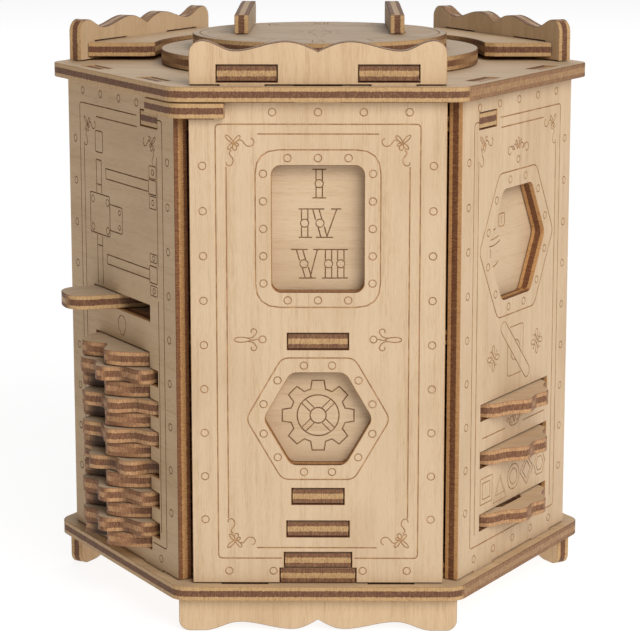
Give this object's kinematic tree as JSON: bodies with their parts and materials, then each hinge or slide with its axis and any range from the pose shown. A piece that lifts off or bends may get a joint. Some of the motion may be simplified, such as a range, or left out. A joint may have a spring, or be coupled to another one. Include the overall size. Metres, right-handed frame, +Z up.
{
  "type": "wooden puzzle box",
  "caption": "Hexagonal laser-cut plywood puzzle box with a turning top dial, lobed code wheels, a lever, a corner latch and a hidden back door.",
  "frame": {"origin": "centre of the box on the surface that its skirts stand on", "axes": "+Z up, the front panel with the two windows faces -Y, +X is to the right as seen from the front"},
  "size_m": [0.1532, 0.1342, 0.1657],
  "materials": {
    "birch_panel": "matte, laser-engraved birch plywood",
    "birch_plate": "matte birch plywood with laser-browned edges",
    "birch_wheel": "matte birch plywood with dark laser-cut edges",
    "window_board": "matte pale birch plywood",
    "inner_board": "matte birch plywood, unfinished",
    "dowel": "smooth turned birch dowel"
  },
  "bodies": {
    "case": {"base_plate": "birch_plate", "top_plate": "birch_plate", "skirt_front": "birch_plate", "skirt_back_right": "birch_plate", "skirt_back_left": "birch_plate", "crest_rail_front": "birch_plate", "crest_rail_back_right": "birch_plate", "crest_rail_back_left": "birch_plate", "crest_bracket_front": "birch_plate", "crest_bracket_back_right": "birch_plate", "crest_bracket_back_left": "birch_plate", "front_panel": "birch_panel", "front_left_panel": "birch_panel", "front_right_panel": "birch_panel", "back_left_panel": "birch_panel", "back_right_panel": "birch_panel", "numeral_plate": "window_board", "emblem_plate": "window_board", "picture_plate": "window_board", "inner_floor": "inner_board", "mid_shelf": "inner_board", "upper_shelf": "inner_board", "divider_left": "inner_board", "divider_right": "inner_board", "partition": "inner_board", "lock_plate_lower": "inner_board", "lock_plate_middle": "inner_board", "lock_plate_upper": "inner_board", "code_shaft": "dowel", "side_shaft": "dowel", "spacer_1": "dowel", "spacer_2": "dowel", "spacer_3": "dowel", "lever_pin": "dowel", "notch_disc_1": "birch_wheel", "notch_disc_2": "birch_wheel", "notch_disc_3": "birch_wheel", "notch_disc_4": "birch_wheel", "notch_disc_5": "birch_wheel", "notch_disc_6": "birch_wheel", "notch_disc_7": "birch_wheel"},
    "dial": {"dial_lower_disc": "birch_wheel", "dial_upper_disc": "birch_wheel", "dial_grip_left": "birch_wheel", "dial_grip_right": "birch_wheel", "dial_spindle": "dowel", "dial_retainer": "inner_board"},
    "code_wheel_1_body": {"code_wheel_1": "birch_wheel"},
    "code_wheel_2_body": {"code_wheel_2": "birch_wheel"},
    "code_wheel_3_body": {"code_wheel_3": "birch_wheel"},
    "code_wheel_4_body": {"code_wheel_4": "birch_wheel"},
    "code_wheel_5_body": {"code_wheel_5": "birch_wheel"},
    "code_wheel_6_body": {"code_wheel_6": "birch_wheel"},
    "side_wheel_1_body": {"side_wheel_1": "birch_wheel"},
    "side_wheel_2_body": {"side_wheel_2": "birch_wheel"},
    "side_wheel_3_body": {"side_wheel_3": "birch_wheel"},
    "lever_arm": {"lever": "birch_wheel"},
    "latch": {"corner_latch": "birch_wheel"},
    "door": {"back_door": "birch_panel"}
  },
  "joints": [
    {"name": "dial_turn", "type": "hinge", "parent": "case", "child": "dial", "pos_m": [0, 0, 0.15025], "axis": [0, 0, 1], "continuous": true},
    {"name": "code_wheel_1_turn", "type": "hinge", "parent": "case", "child": "code_wheel_1_body", "pos_m": [-0.04699, -0.02921, 0.0246], "axis": [0, 0, 1], "continuous": true},
    {"name": "code_wheel_2_turn", "type": "hinge", "parent": "case", "child": "code_wheel_2_body", "pos_m": [-0.04699, -0.02921, 0.0333], "axis": [0, 0, 1], "continuous": true},
    {"name": "code_wheel_3_turn", "type": "hinge", "parent": "case", "child": "code_wheel_3_body", "pos_m": [-0.04699, -0.02921, 0.042], "axis": [0, 0, 1], "continuous": true},
    {"name": "code_wheel_4_turn", "type": "hinge", "parent": "case", "child": "code_wheel_4_body", "pos_m": [-0.04699, -0.02921, 0.0507], "axis": [0, 0, 1], "continuous": true},
    {"name": "code_wheel_5_turn", "type": "hinge", "parent": "case", "child": "code_wheel_5_body", "pos_m": [-0.04699, -0.02921, 0.0594], "axis": [0, 0, 1], "continuous": true},
    {"name": "code_wheel_6_turn", "type": "hinge", "parent": "case", "child": "code_wheel_6_body", "pos_m": [-0.04699, -0.02921, 0.0681], "axis": [0, 0, 1], "continuous": true},
    {"name": "side_wheel_1_turn", "type": "hinge", "parent": "case", "child": "side_wheel_1_body", "pos_m": [0.04244, -0.0245, 0.05825], "axis": [0, 0, 1], "continuous": true},
    {"name": "side_wheel_2_turn", "type": "hinge", "parent": "case", "child": "side_wheel_2_body", "pos_m": [0.04244, -0.0245, 0.0448], "axis": [0, 0, 1], "continuous": true},
    {"name": "side_wheel_3_turn", "type": "hinge", "parent": "case", "child": "side_wheel_3_body", "pos_m": [0.04244, -0.0245, 0.0268], "axis": [0, 0, 1], "continuous": true},
    {"name": "lever_swing", "type": "hinge", "parent": "case", "child": "lever_arm", "pos_m": [-0.01905, -0.011, 0.0858], "axis": [0, 0, 1], "range_deg": [0, 26]},
    {"name": "latch_slide", "type": "slide", "parent": "case", "child": "latch", "axis": [-0.5, -0.866, 0], "range_m": [0, 0.008]},
    {"name": "back_door_swing", "type": "hinge", "parent": "case", "child": "door", "pos_m": [0.0305, 0.062, 0.07988], "axis": [0, 0, 1], "range_deg": [-110, 0]}
  ]
}
